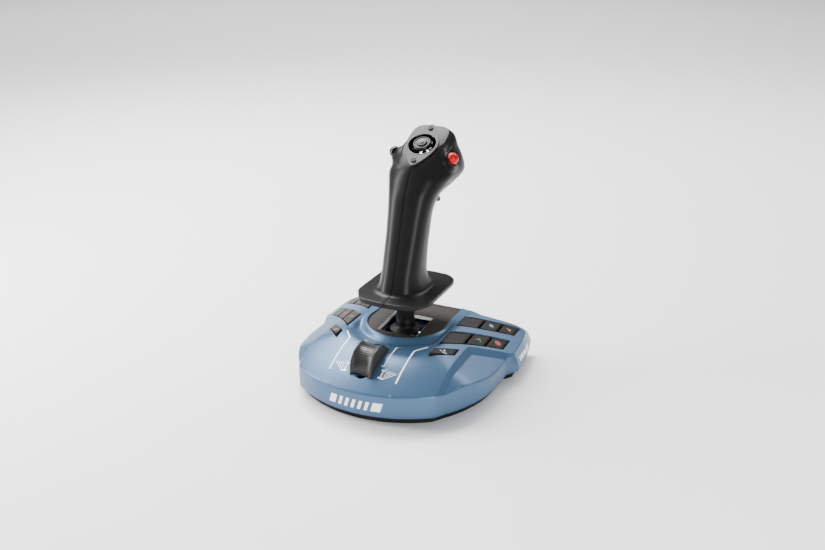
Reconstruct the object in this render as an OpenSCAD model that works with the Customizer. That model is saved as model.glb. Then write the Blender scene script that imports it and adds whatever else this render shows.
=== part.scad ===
// Desktop flight joystick: a winged base with a two-axis gimbal, a twisting grip,
// a hat switch, a trigger, two thumb buttons, fourteen base keys and a throttle.
// Millimetres, +X right, +Y away from the pilot, +Z up, standing on Z = 0.

/* [Base] */
// Distance of the stick axis behind the middle of the base
stick_y = 11; // [8:1:14]
// Radius of the round front wall
front_r = 112; // [110:0.5:114]
// Half width of the middle panel at the front wall
panel_half = 66; // [62:1:68]
// Height of the flat middle of the upper surface
deck_z = 50.4; // [49:0.1:52]
// Height of the joint between the lower and the upper shell
joint_z = 8; // [7:0.5:9]
// Wall thickness of the mouldings
wall = 2.4; // [2:0.1:3]
// Depth of the two sunk front corner panels
corner_drop = 4; // [3:0.5:5]

/* [Stick] */
// Height of the crossing point of the two gimbal axes
pivot_z = 24; // [23:0.5:25]
// Radius of the stick tube below the grip
tube_r = 8.5; // [8:0.1:9]
// Radius of the gimbal pins
pin_r = 2.5; // [2:0.1:2.8]
// Running clearance of the pins in their bores
run_fit = 0.05; // [0.03:0.01:0.08]

/* [Grip] */
// Height of the underside of the hand rest
rest_z = 81.5; // [80:0.5:83]
// Tilt of the hat switch plate from level
hat_tilt = 29; // [25:1:33]
// Wall thickness of the grip shells
grip_wall = 2.2; // [2:0.1:2.6]

/* [Controls] */
// Gap all round each base key
key_gap = 0.5; // [0.4:0.1:0.8]
// Thickness of a base key
key_t = 3; // [2.5:0.1:3.5]
// Radius of the two thumb buttons
thumb_r = 5.4; // [5:0.1:6]
// Half width of the throttle slider
slider_half = 10.5; // [10:0.5:12]

/* [Hidden] */

blue = [0.36, 0.52, 0.70];
black = [0.06, 0.06, 0.07];
umber = [0.17, 0.15, 0.14];
steel = [0.62, 0.63, 0.65];
board = [0.08, 0.25, 0.16];
round_fn = 96;
small_fn = 32;
eps = 0.01;

// ---- shared base geometry, measured from the stick axis ----
dome_y = 8;                      // centre of the round middle panel
corner_c = [-22, -2];            // centre of the front corner arc, right side
corner_r = 118;
wing_knee = 45;                  // half width at which the deck starts to fall away
recess_inner = [66.5, -6.5];     // inner rear corner of the sunk corner panel
wing_near = [99.8, 24.9];        // near outer corner of the wing
slot_half = 5;
foot_z = 1.5;                    // gap between the table and the lower shell
floor_top = foot_z + wall;
slider_pivot = [-38, -52];       // Y and Z of the centre that the throttle track curves about
track_r = 103;
drum = [-72.7, 40.8];            // Y and Z of the centre of the throttle cap's round top

function arc(c, r, a0, a1, n) = [for (i = [0:n]) let (a = a0 + (a1 - a0) * i / n) c + r * [cos(a), sin(a)]];
function mirrored(p) = [for (i = [len(p) - 1:-1:0]) [-p[i][0], p[i][1]]];
// Height of the deck over the wings, and of the round middle panel at a radius from its centre
function wing_z(x) = deck_z - 0.37 * max(x - wing_knee, 0) - 0.0015 * pow(max(x - wing_knee, 0), 2);
function dome_z(r) = deck_z - 0.4 - 0.128 * max(r - 60, 0) - 0.0055 * pow(max(r - 60, 0), 2);

module place() {
  translate([0, stick_y, 0]) children();
}

module both_sides() {
  children();
  mirror([1, 0, 0]) children();
}

// Right half of the base outline, moved inwards by d
function front_half(d) = concat(
  arc([0, dome_y], front_r - d, -90, -acos((panel_half - 0.8 * d) / (front_r - d)), 14),
  arc(corner_c, corner_r - d, -37.5, -2, 10), [[96 - d, 15]]);
function wing_half(d) = [[103 - d, 25], [101.5 - d, 55], [96 - d, 81 - d], [80, 68 - d], [68, 60 - d],
  [56, 53 - d], [40, 57 - d], [34, 62 - d]];
function base_outline(d) = let (h = concat(front_half(d), wing_half(d))) concat(h, mirrored(h));

module base_prism(d, z0, z1) {
  translate([0, 0, z0]) linear_extrude(z1 - z0) polygon(base_outline(d));
}

// The sunk corner panel's plan, right side, grown by g
module corner_plan(g) {
  rear = 1.4 * g;
  polygon([[panel_half - g, -100], recess_inner + [-g, 0.46 * g], wing_near + [0, rear],
    [120, 44 + rear], [120, -100]]);
}

// Solid below the deck, lowered by dz
module deck_body(dz) {
  steps = [for (x = [45:6:111]) [x, wing_z(x) - dz]];
  intersection() {
    translate([0, 130, 0]) rotate([90, 0, 0]) linear_extrude(260)
      polygon(concat([[-111, 0], [111, 0]], [for (i = [len(steps) - 1:-1:0]) steps[i]],
        [for (p = steps) [-p[0], p[1]]]));
    translate([0, dome_y, 0]) rotate_extrude($fn = round_fn)
      polygon(concat([[0, 0], [125, 0]], [for (r = [125:-5:60]) [r, dome_z(r) - dz]],
        [[0, dome_z(60) - dz]]));
  }
}

// Plan of the dark plate round the stick: round in front, straight sides behind
module plate_plan(d) {
  translate([0, 5]) circle(37.5 - d, $fn = round_fn);
  translate([d - 36, 5]) square([2 * (36 - d), 70]);
}

// Side view of the solid below the plate's upper face
module plate_side(dz, z0) {
  rotate([90, 0, 90]) translate([0, 0, -50]) linear_extrude(100)
    polygon([[-45, z0], [-45, 45.6 - dz], [44, 49.6 - dz], [53 - 0.4 * dz, 47.5 - dz],
      [59 - 0.8 * dz, 41 - 0.6 * dz], [62 - dz, 30], [62.6 - dz, z0]]);
}

// ---- keys ----
// Plan corners of the right keys: near edge and far edge of each row
function row_a_near(x) = -29 + 1.26 * (x - 45.5) - 0.0037 * pow(x - 45.5, 2);
function row_a_far(x) = -1 + 1.02 * (x - 45.5) - 0.0024 * pow(x - 45.5, 2);
function row_b_near(x) = 12 + 0.88 * (x - 45.5);
function row_b_far(x) = 34.5 + 0.78 * (x - 45.5);
row_x = [45.5, 62.5, 76.5, 90];
function key_a(i) = [[row_x[i], row_a_near(row_x[i])], [row_x[i + 1], row_a_near(row_x[i + 1])],
  [row_x[i + 1], row_a_far(row_x[i + 1])], [row_x[i], row_a_far(row_x[i])]];
function key_b(i) = [[row_x[i], row_b_near(row_x[i])], [row_x[i + 1], row_b_near(row_x[i + 1])],
  [row_x[i + 1], row_b_far(row_x[i + 1])], [row_x[i], row_b_far(row_x[i])]];
key_single = [[45.2, -50.8], [62.5, -32.5], [62.5, -20.5], [45.2, -38.8]];
function centre_of(p) = (p[0] + p[1] + p[2] + p[3]) / 4;
// Moves the corners of a key's plan inwards by g, along X and along Y
function shrink(p, g) = [p[0] + [g, g * 1.7], p[1] + [-g, g * 0.6], p[2] + [-g, -g * 1.7], p[3] + [g, -g * 0.6]];
function key_slope(p) = atan(0.37 + 0.003 * (centre_of(p)[0] - wing_knee));
key_list = [key_single, key_a(0), key_a(1), key_a(2), key_b(0), key_b(1), key_b(2)];

// Puts its children in the frame of a key's upper face
module on_key(p) {
  c = centre_of(p);
  translate([c[0], c[1], wing_z(c[0])]) rotate([0, key_slope(p), 0]) children();
}

module key_right(p) {
  stem_r = 2.2;
  color(umber) place() {
    intersection() {
      linear_extrude(80) polygon(shrink(p, key_gap));
      on_key(p) translate([0, 0, -key_t / 2 + 0.3]) cube([60, 120, key_t], center = true);
    }
    on_key(p) translate([0, 0, -key_t - 2.4]) cylinder(r = stem_r, h = 3.4, $fn = small_fn);
  }
}

module key_left(p) {
  mirror([1, 0, 0]) key_right(p);
}

module key_wells() {
  both_sides() {
    linear_extrude(80) polygon(key_single);
    linear_extrude(80) polygon([key_a(0)[0], key_a(1)[0], key_a(2)[0], key_a(2)[1], key_a(2)[2],
      key_a(2)[3], key_a(1)[3], key_a(0)[3]]);
    linear_extrude(80) polygon([key_b(0)[0], key_b(2)[1], key_b(2)[2], key_b(0)[3]]);
  }
}

// Outer form of the upper shell, moved inwards and down by d
module upper_form(d) {
  intersection() {
    union() {
      difference() {
        deck_body(d);
        both_sides() translate([0, 0, -1]) linear_extrude(90) corner_plan(d);
      }
      deck_body(d + corner_drop);
    }
    base_prism(d, d > 0 ? joint_z - 1 : joint_z, 70);
  }
}

// ---- base nodes ----
screw_spots = [[50, -60], [88, 43.7], [40.5, 30]];
function deck_at(p) = min(wing_z(p[0]), dome_z(norm(p - [0, dome_y])));

// Slot that the throttle carriage runs in
module throttle_slot() {
  slot_y = [-87, -51];
  translate([0, 0, 20]) {
    for (y = slot_y) translate([0, y, 0]) cylinder(r = slot_half, h = 40, $fn = small_fn);
    translate([-slot_half, slot_y[0], 0]) cube([2 * slot_half, slot_y[1] - slot_y[0], 40]);
  }
}

module screw_bosses() {
  z0 = joint_z + 2;
  both_sides() for (s = screw_spots)
    translate([s[0], s[1], z0]) cylinder(r = 3.6, h = deck_at(s) - 1.9 - z0, $fn = small_fn);
}

// Rim that the dark plate rests on, and the funnel below it that hides the gimbal
module plate_rim() {
  intersection() {
    difference() {
      plate_side(2.5, joint_z);
      plate_side(4.5, joint_z - 1);
    }
    linear_extrude(60) plate_plan(-1.5);
  }
  translate([0, 0, 36]) difference() {
    cylinder(r1 = 24, r2 = 38, h = 8, $fn = round_fn);
    translate([0, 0, -eps]) cylinder(r1 = 21.5, r2 = 35.5, h = 8.02, $fn = round_fn);
  }
}

// Raised ring round the front half of the dark plate
module plate_ring() {
  difference() {
    translate([0, 5, dome_z(60) - 1]) rotate_extrude($fn = round_fn)
      polygon([[37, -3], [47.5, -3], [47.5, 0.4], [45.5, 1.9], [40, 2.2], [37, 1]]);
    translate([-60, 5, 0]) cube([120, 100, 100]);
  }
}

module base_top_shell() {
  color(blue) place() {
    difference() {
      union() {
        difference() {
          upper_form(0);
          upper_form(wall);
        }
        screw_bosses();
        plate_rim();
        plate_ring();
      }
      difference() {
        linear_extrude(60) plate_plan(-0.3);
        plate_side(2.5, 0);
      }
      linear_extrude(60) plate_plan(6);
      key_wells();
      throttle_slot();
      both_sides() for (s = screw_spots)
        translate([s[0], s[1], joint_z]) cylinder(r = 1.4, h = 12, $fn = small_fn);
      translate([-6, 50, 10.5]) cube([12, 20, 7]);
    }
  }
}

module base_bottom_shell() {
  inset = 5;
  color(black) place() difference() {
    union() {
      difference() {
        union() {
          base_prism(inset, foot_z, joint_z - 1);
          base_prism(wall + 1.5, joint_z - 1.5, joint_z + 2);
        }
        base_prism(inset + wall, floor_top, joint_z + 3);
      }
      both_sides() for (s = screw_spots)
        translate([s[0], s[1], foot_z]) cylinder(r = 5, h = joint_z + 2 - foot_z, $fn = small_fn);
      both_sides() for (y = [27, 45])
        translate([26, y, foot_z + 1]) cylinder(r = 2.4, h = 10.6 - foot_z - 1, $fn = small_fn);
    }
    both_sides() for (s = screw_spots) translate([s[0], s[1], 0]) {
      cylinder(r = 1.6, h = 20, $fn = small_fn);
      cylinder(r = 3.3, h = 5, $fn = small_fn);
    }
    both_sides() for (f = foot_spots)
      translate([f[0], f[1], 0]) cylinder(r = 9.3, h = foot_z + 0.7, $fn = round_fn);
  }
}

foot_spots = [[42, -74], [78, 52], [74, -20]];

module rubber_feet() {
  color([0.1, 0.1, 0.1]) place() both_sides() for (f = foot_spots)
    translate([f[0], f[1], 0]) cylinder(r = 9, h = 2.2, $fn = round_fn);
}

module base_screws() {
  color(steel) place() both_sides() for (s = screw_spots)
    translate([s[0], s[1], 3]) {
      cylinder(r = 3, h = 2, $fn = small_fn);
      cylinder(r = 1.3, h = 16, $fn = small_fn);
    }
}

module ballast_plates() {
  color(steel) place() both_sides()
    translate([46, -52, floor_top]) cube([30, 76, 4]);
}

module gimbal_cover_plate() {
  opening = 37;
  thick = 2.4;
  color(umber) place() difference() {
    intersection() {
      difference() {
        plate_side(0, joint_z + 1);
        plate_side(thick, 0);
      }
      linear_extrude(60) plate_plan(0);
    }
    translate([-opening / 2, -opening / 2, 30]) cube([opening, opening, 40]);
    translate([0, 60, 14]) cube([11, 20, 6.4], center = true);
  }
}

// ---- gimbal ----
ear_in = 21.5;
ear_out = 26;

module gimbal_housing() {
  color([0.3, 0.33, 0.38]) place() difference() {
    union() {
      translate([-31, -19, 8]) cube([62, 38, 3]);
      for (x = [-28, 28], y = [-15, 15])
        translate([x, y, floor_top]) cylinder(r = 3.2, h = 8.5 - floor_top, $fn = small_fn);
      both_sides() {
        translate([ear_in, -9, 8]) cube([ear_out - ear_in, 18, pivot_z - 8]);
        translate([ear_in, 0, pivot_z]) rotate([0, 90, 0])
          cylinder(r = 9, h = ear_out - ear_in, $fn = round_fn);
      }
    }
    translate([0, 0, 7]) cylinder(r = 15.5, h = 6, $fn = round_fn);
    translate([-60, 0, pivot_z]) rotate([0, 90, 0]) cylinder(r = pin_r + run_fit, h = 120, $fn = small_fn);
    for (x = [-28, 28], y = [-15, 15]) translate([x, y, 0]) cylinder(r = 1.5, h = 20, $fn = small_fn);
  }
}

module housing_screws() {
  color(steel) place() for (x = [-28, 28], y = [-15, 15]) translate([x, y, floor_top]) {
    cylinder(r = 1.4, h = 7.2, $fn = small_fn);
    translate([0, 0, 11 - floor_top]) cylinder(r = 2.8, h = 1.8, $fn = small_fn);
  }
}

module gimbal_ring() {
  ring = [40, 34, 10];
  hole = [22, 18, 20];
  color([0.75, 0.76, 0.78]) place() translate([0, 0, pivot_z]) difference() {
    cube(ring, center = true);
    cube(hole, center = true);
    rotate([0, 90, 0]) cylinder(r = pin_r, h = 60, center = true, $fn = small_fn);
    rotate([90, 0, 0]) cylinder(r = pin_r, h = 60, center = true, $fn = small_fn);
  }
}

module pitch_pins() {
  color(steel) place() both_sides() translate([11.5, 0, pivot_z]) rotate([0, 90, 0])
    cylinder(r = pin_r, h = ear_out + 0.5 - 11.5, $fn = small_fn);
}

module roll_pin() {
  color(steel) place() translate([0, 0, pivot_z]) rotate([90, 0, 0])
    cylinder(r = pin_r, h = 33.6, center = true, $fn = small_fn);
}

module stick_shaft() {
  block = 16;
  spindle_r = 6;
  spindle_top = 112;
  wire_r = 3;
  color(black) place() difference() {
    union() {
      translate([0, 0, 12]) cylinder(r = 4, h = 5, $fn = small_fn);
      translate([-block / 2, -block / 2, 16]) cube([block, block, 18]);
      translate([0, 0, 34]) cylinder(r = tube_r, h = rest_z - 0.7 - 34, $fn = round_fn);
      translate([0, 0, rest_z - 1]) cylinder(r = spindle_r, h = spindle_top - rest_z + 1, $fn = round_fn);
    }
    translate([0, 0, pivot_z]) rotate([90, 0, 0])
      cylinder(r = pin_r + run_fit, h = 40, center = true, $fn = small_fn);
    translate([0, 0, 31]) cylinder(r = wire_r, h = 90, $fn = small_fn);
    translate([0, 0, 33]) rotate([0, 90, 0]) cylinder(r = wire_r - 1, h = 20, $fn = small_fn);
    translate([0, 0, 11]) cylinder(r = 2.5, h = 2, $fn = small_fn);
    // groove for the collar that holds the grip on
    translate([0, 0, 107]) difference() {
      cylinder(r = 8, h = 1.6, $fn = small_fn);
      translate([0, 0, -1]) cylinder(r = 5, h = 4, $fn = round_fn);
    }
  }
}

module shaft_magnet() {
  color(steel) place() translate([0, 0, 10.8]) cylinder(r = 2.4, h = 2.1, $fn = small_fn);
}

module centring_cup() {
  color([0.8, 0.8, 0.76]) place() difference() {
    union() {
      translate([0, 0, 34.6]) cylinder(r = 13.6, h = 1.6, $fn = round_fn);
      translate([0, 0, 34.6]) cylinder(r = 10.2, h = 3, $fn = round_fn);
    }
    translate([0, 0, 30]) cylinder(r = tube_r, h = 20, $fn = round_fn);
  }
}

// Closed coil of round wire, as one swept tube
spring_r = 11.6;
wire = 0.6;
turns = 3;
steps_per_turn = 18;
wire_sides = 6;
module centring_spring() {
  z0 = 36.9;
  pitch = 1.6;
  n = turns * steps_per_turn;
  pts = [for (i = [0:n], j = [0:wire_sides - 1])
    let (a = 360 * i / steps_per_turn, b = 360 * j / wire_sides, r = spring_r + wire * cos(b))
    [r * cos(a), r * sin(a), z0 + pitch * i / steps_per_turn + wire * sin(b)]];
  sides = [for (i = [0:n - 1], j = [0:wire_sides - 1])
    let (k = i * wire_sides, m = (j + 1) % wire_sides)
    [k + j, k + wire_sides + j, k + wire_sides + m, k + m]];
  ends = [[for (j = [0:wire_sides - 1]) j], [for (j = [wire_sides - 1:-1:0]) n * wire_sides + j]];
  color(steel) place() polyhedron(points = pts, faces = concat(sides, ends), convexity = 6);
}

module dust_skirt() {
  color(black) place() translate([0, 0, 42.6]) difference() {
    cylinder(r1 = 14.6, r2 = 9.8, h = 5.4, $fn = round_fn);
    translate([0, 0, -eps]) cylinder(r1 = 13.2, r2 = tube_r, h = 4, $fn = round_fn);
    translate([0, 0, -1]) cylinder(r = tube_r, h = 20, $fn = round_fn);
  }
}

// ---- grip: one loft from the hand rest to the hat plate ----
// Each station: front Y, Z; rear Y, Z; half width; place of the widest point; front and rear fullness
STATIONS = [
  [-44.5, 81.5, 43.5, 81.5, 35.2, 0.50, 3.3, 4.6],
  [-45.5, 83.0, 44.5, 83.0, 36.2, 0.50, 3.3, 4.6],
  [-45.5, 85.2, 44.5, 84.9, 36.2, 0.50, 3.3, 4.6],
  [-44.2, 86.6, 43.2, 86.2, 35.0, 0.50, 3.3, 4.6],
  [-33.0, 88.4, 29.5, 87.8, 24.8, 0.50, 2.7, 3.0],
  [-28.2, 92.6, 24.2, 92.2, 20.7, 0.50, 2.45, 2.5],
  [-25.2, 100.0, 20.8, 100.0, 18.9, 0.50, 2.5, 2.5],
  [-19.0, 118.0, 21.8, 120.5, 18.5, 0.50, 2.5, 2.5],
  [-12.5, 137.0, 25.8, 139.5, 18.8, 0.50, 2.5, 2.5],
  [-6.9, 155.4, 31.0, 158.5, 20.0, 0.50, 2.4, 2.5],
  [-2.0, 170.5, 44.0, 168.0, 22.6, 0.46, 2.3, 2.5],
  [3.5, 180.0, 66.5, 172.5, 26.6, 0.42, 2.3, 3.2],
  [7.5, 186.5, 82.0, 181.5, 29.8, 0.43, 2.2, 4.5],
  [10.0, 190.5, 82.0, 192.0, 28.2, 0.44, 2.1, 4.2],
  [11.8, 193.0, 76.0, 205.0, 24.4, 0.47, 2.0, 4.4],
  [13.2, 194.6, 71.5, 215.4, 21.6, 0.50, 1.9, 4.8],
  [14.6, 195.9, 64.5, 221.2, 18.2, 0.52, 1.8, 4.2]];
ring_n = 36;

function bend(v, p) = sign(v) * pow(abs(v), 2 / p);
// Ring of points of one station, moved inwards by d
function station_ring(s, d) = let (f = [s[0], s[1]], b = [s[2], s[3]], c = f + s[5] * (b - f),
    lf = norm(f - c), lb = norm(b - c), uf = (f - c) / lf, ub = (b - c) / lb)
  [for (k = [0:ring_n - 1]) let (a = 360 * k / ring_n, q = sin(a) < 0 ? s[6] : s[7],
    t = pow(abs(sin(a)), 2 / q), yz = sin(a) < 0 ? c + uf * (lf - d) * t : c + ub * (lb - d) * t)
    [(s[4] - d) * bend(cos(a), q), yz[0], yz[1]]];

module loft(stations, d) {
  n = len(stations);
  pts = [for (s = stations) each station_ring(s, d)];
  sides = [for (i = [0:n - 2], k = [0:ring_n - 1]) let (a = i * ring_n, m = (k + 1) % ring_n)
    each [[a + k, a + ring_n + k, a + ring_n + m], [a + k, a + ring_n + m, a + m]]];
  ends = [[for (k = [0:ring_n - 1]) k], [for (k = [ring_n - 1:-1:0]) (n - 1) * ring_n + k]];
  polyhedron(points = pts, faces = concat(sides, ends), convexity = 8);
}

hat_c = [0, 37.7, 208.3];
hat_ring_z = -9;
hat_pin_r = 0.8;
module on_hat() {
  translate(hat_c) rotate([hat_tilt, 0, 0]) children();
}

thumb_c = [27.6, 39.7, 198.6];
module on_thumb() {
  translate(thumb_c) rotate([12, 58, 0]) children();
}

trigger_axis = [0, 50, 178];
grip_screw_spots = [[3, 120], [7, 138], [12, 152]];

// Right half of the grip: a hollow moulding with bosses for the screws and the trigger
module grip_half() {
  hollow = [for (i = [4:len(STATIONS) - 2]) STATIONS[i]];
  intersection() {
    difference() {
      union() {
        difference() {
          union() {
            loft(STATIONS, 0);
            on_thumb() translate([0, 0, -6]) cylinder(r = 7.4, h = 5.4, $fn = small_fn);
          }
          difference() {
            loft(hollow, grip_wall);
            translate([-50, -60, 60]) cube([100, 140, rest_z - 54.6 + grip_wall]);
          }
        }
        for (s = grip_screw_spots) translate([0, s[0], s[1]]) rotate([0, 90, 0])
          cylinder(r = 3.4, h = 17.8, $fn = small_fn);
        translate([9.4, 43, 171]) cube([2.6, 14, 14.2]);
      }
      translate([0, 0, 70]) cylinder(r = 11, h = 30, $fn = round_fn);
      on_thumb() translate([0, 0, -11]) cylinder(r = 5.9, h = 20, $fn = small_fn);
      on_hat() translate([0, 0, -14]) cylinder(r = 13.4, h = 30, $fn = round_fn);
      on_hat() for (y = [-21.5, 21.5]) translate([0, y, -6]) cylinder(r = 1.55, h = 12, $fn = small_fn);
      translate([-9, 38, 160]) cube([18, 19, 24]);
      translate(trigger_axis) rotate([0, 90, 0]) cylinder(r = 1.5, h = 11.2, $fn = small_fn);
      for (s = grip_screw_spots) translate([-1, s[0], s[1]]) rotate([0, 90, 0])
        cylinder(r = 1.3, h = 13, $fn = small_fn);
    }
    translate([0.05, -80, 60]) cube([60, 200, 200]);
  }
}

module grip_right_shell() {
  color(black) place() grip_half();
}

module grip_left_shell() {
  color(black) place() difference() {
    mirror([1, 0, 0]) grip_half();
    for (s = grip_screw_spots) translate([-40, s[0], s[1]]) rotate([0, 90, 0]) {
      cylinder(r = 1.3, h = 50, $fn = small_fn);
      cylinder(r = 2.9, h = 26.6, $fn = small_fn);
    }
  }
}

module twist_bushing() {
  color([0.85, 0.85, 0.8]) place() difference() {
    union() {
      translate([0, 0, rest_z]) cylinder(r = 11, h = 24, $fn = round_fn);
      translate([0, 0, 91]) cylinder(r = 14, h = 2.5, $fn = round_fn);
    }
    translate([0, 0, 70]) cylinder(r = 6 + run_fit, h = 50, $fn = round_fn);
  }
}

module twist_collar() {
  color(steel) place() translate([0, 0, 107.1]) difference() {
    cylinder(r = 9, h = 1.4, $fn = round_fn);
    translate([0, 0, -1]) cylinder(r = 5, h = 4, $fn = round_fn);
    translate([0, -5, -1]) cube([10, 10, 4]);
  }
}

module grip_screws() {
  color(steel) place() for (s = grip_screw_spots) translate([-15.3, s[0], s[1]]) rotate([0, 90, 0]) {
    cylinder(r = 2.6, h = 1.9, $fn = small_fn);
    cylinder(r = 1.2, h = 24, $fn = small_fn);
  }
}

// ---- hat switch ----
hat_len = 27.3;
plate_lift = 0.5;
module hat_plate() {
  color([0.2, 0.2, 0.21]) place() on_hat() difference() {
    intersection() {
      translate([0, 0, plate_lift]) linear_extrude(1.4) polygon([for (k = [0:47]) let (a = 7.5 * k)
        [14.8 * bend(cos(a), 1.42), hat_len * bend(sin(a), 1.42)]]);
      translate([0, 0, -1]) cylinder(r = 40, h = 4, $fn = small_fn);
    }
    translate([0, 0, -1]) cylinder(r = 13.2, h = 4, $fn = round_fn);
    for (y = [-21.5, 21.5]) translate([0, y, -1]) cylinder(r = 1.5, h = 4, $fn = small_fn);
  }
}

module hat_plate_screws() {
  color(black) place() on_hat() for (y = [-21.5, 21.5]) translate([0, y, -5]) {
    cylinder(r = 1.5, h = 7.2, $fn = small_fn);
    translate([0, 0, 5 + plate_lift + 1.42]) cylinder(r = 2.3, h = 1.1, $fn = small_fn);
  }
}

module hat_bowl() {
  bowl_r = 13.1;
  color([0.03, 0.03, 0.03]) place() on_hat() difference() {
    rotate_extrude($fn = round_fn) polygon(concat(
      [[0, -11], [11, -11], [bowl_r, -5], [bowl_r, 1.2], [12.2, 1.2]],
      [for (a = [10:10:80]) [12 * cos(a), 1 - 8.5 * sin(a)]], [[0, -7.5]]));
    translate([0, 0, -14]) cylinder(r = 4.8, h = 20, $fn = small_fn);
    translate([0, 0, hat_ring_z]) rotate([0, 90, 0])
      cylinder(r = hat_pin_r + run_fit, h = 13, center = true, $fn = small_fn);
  }
}

// Small gimbal ring: its pins turn in the bowl, and the cap's pins turn in it
module hat_ring() {
  color(steel) place() on_hat() translate([0, 0, hat_ring_z]) difference() {
    union() {
      cylinder(r = 4.4, h = 2.6, center = true, $fn = small_fn);
      rotate([0, 90, 0]) cylinder(r = hat_pin_r, h = 12.4, center = true, $fn = small_fn);
    }
    cylinder(r = 2.3, h = 6, center = true, $fn = small_fn);
    rotate([90, 0, 0]) cylinder(r = hat_pin_r + run_fit, h = 10, center = true, $fn = small_fn);
  }
}

module hat_cap() {
  color(black) place() on_hat() {
    translate([0, 0, hat_ring_z - 1]) cylinder(r = 1.6, h = 9, $fn = small_fn);
    translate([0, 0, hat_ring_z]) rotate([90, 0, 0])
      cylinder(r = hat_pin_r, h = 8.4, center = true, $fn = small_fn);
    translate([0, 0, -3]) rotate_extrude($fn = round_fn)
      polygon([[0, 0], [4, 0], [4, 1.2], [8.6, 2.4], [9, 4.2], [8, 5.6], [4.4, 5], [0, 6.4]]);
  }
}

// ---- grip internals and buttons ----
module grip_board() {
  color(board) place() translate([-12, 18, 184]) rotate([20, 0, 0]) cube([24, 26, 1.6]);
}

module trigger_switch() {
  color([0.15, 0.15, 0.16]) place() translate([-4, 54.8, 181.5]) cube([8, 6, 7]);
}

module trigger_pin() {
  color(steel) place() translate(trigger_axis) rotate([0, 90, 0])
    cylinder(r = 1.5, h = 22.4, center = true, $fn = small_fn);
}

module trigger() {
  color(black) place() difference() {
    translate([-8, 0, 0]) rotate([90, 0, 90]) linear_extrude(16)
      polygon([[46, 178], [47, 181], [48, 186.5], [53, 186.5], [53.5, 178.5], [52.6, 172], [51.4, 165],
        [52.4, 159.5], [55.6, 154.6], [54.2, 152.4], [50, 154], [46.6, 159], [45, 166]]);
    translate(trigger_axis) rotate([0, 90, 0]) cylinder(r = 1.5 + run_fit, h = 30, center = true, $fn = small_fn);
  }
}

module thumb_button() {
  on_thumb() {
    translate([0, 0, -9]) cylinder(r = 3, h = 8, $fn = small_fn);
    rotate_extrude($fn = round_fn) polygon(concat([[0, -3], [thumb_r, -3], [thumb_r, 0]],
      [for (a = [15:15:75]) [thumb_r * cos(a), 4.4 * sin(a)]], [[0, 4.4]]));
  }
}

module red_button() {
  color([0.8, 0.05, 0.05]) place() thumb_button();
}

module black_button() {
  color(black) place() mirror([1, 0, 0]) thumb_button();
}

// ---- throttle ----
module throttle_cap() {
  rim = 18;
  waist = 16.4;
  color(umber) place() difference() {
    translate([0, drum[0], drum[1]]) rotate([0, 90, 0]) rotate_extrude($fn = round_fn)
      polygon(concat([[0, -slider_half], [rim, -slider_half], [rim, 2 - slider_half]],
        [for (k = [-4:4]) [waist + (rim - 0.6 - waist) * pow(k / 4, 2), k * (slider_half - 2) / 4]],
        [[rim, slider_half - 2], [rim, slider_half], [0, slider_half]]));
    translate([0, slider_pivot[0], slider_pivot[1]]) rotate([0, 90, 0])
      cylinder(r = track_r + 0.7, h = 60, center = true, $fn = round_fn);
  }
}

module throttle_carriage() {
  stem = [8, 12.6, 37];
  color(black) place() intersection() {
    translate([0, drum[0], drum[1]]) rotate([20.5, 0, 0]) cube(stem, center = true);
    translate([0, slider_pivot[0], slider_pivot[1]]) rotate([0, 90, 0])
      cylinder(r = track_r + 0.7, h = 60, center = true, $fn = round_fn);
  }
}

module throttle_track() {
  color([0.2, 0.2, 0.2]) place() difference() {
    translate([-9, -93, floor_top]) cube([18, 52, 22]);
    translate([-4.6, -90, 12]) cube([9.2, 46, 20]);
  }
}

// ---- boards ----
module main_board() {
  color(board) place() translate([-30, 24, 10.6]) cube([60, 24, 1.6]);
}

module sensor_board() {
  color(board) place() translate([-12, -12, floor_top]) cube([24, 24, 1.6]);
}

module usb_c_socket() {
  color(steel) place() translate([0, 54.6, 14]) difference() {
    cube([9, 14, 3.3], center = true);
    translate([0, 3, 0]) cube([8.3, 14, 2.6], center = true);
  }
}

module key_boards() {
  color(board) place() both_sides() {
    on_key(key_a(1)) translate([0, 0, -key_t - 7.9]) linear_extrude(1.6)
      polygon([[-21, -28], [19, 0], [19, 48], [-21, 24]]);
    on_key(key_single) translate([-8, -9, -key_t - 7.2]) cube([16, 18, 1.6]);
  }
}

module key_switches() {
  color([0.9, 0.9, 0.88]) place() both_sides() for (p = key_list)
    on_key(p) translate([-3, -3, -key_t - 5.5]) cube([6, 6, 2]);
}

base_top_shell();
base_bottom_shell();
rubber_feet();
base_screws();
ballast_plates();
gimbal_cover_plate();
gimbal_housing();
housing_screws();
main_board();
sensor_board();
usb_c_socket();
key_boards();
key_switches();
throttle_track();
gimbal_ring();
pitch_pins();
roll_pin();
stick_shaft();
centring_cup();
centring_spring();
dust_skirt();
shaft_magnet();
twist_bushing();
twist_collar();
grip_left_shell();
grip_right_shell();
grip_screws();
hat_plate();
hat_plate_screws();
hat_bowl();
hat_ring();
hat_cap();
grip_board();
trigger_switch();
trigger_pin();
trigger();
red_button();
black_button();
throttle_cap();
throttle_carriage();
key_right(key_single);  // key_right_single
key_right(key_a(0));  // key_right_a1
key_right(key_a(1));  // key_right_a2
key_right(key_a(2));  // key_right_a3
key_right(key_b(0));  // key_right_b1
key_right(key_b(1));  // key_right_b2
key_right(key_b(2));  // key_right_b3
key_left(key_single);  // key_left_single
key_left(key_a(0));  // key_left_a1
key_left(key_a(1));  // key_left_a2
key_left(key_a(2));  // key_left_a3
key_left(key_b(0));  // key_left_b1
key_left(key_b(1));  // key_left_b2
key_left(key_b(2));  // key_left_b3
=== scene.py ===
import math
import bpy
import bmesh
import numpy as np
from mathutils import Matrix, Vector, kdtree
from mathutils.geometry import delaunay_2d_cdt


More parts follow.
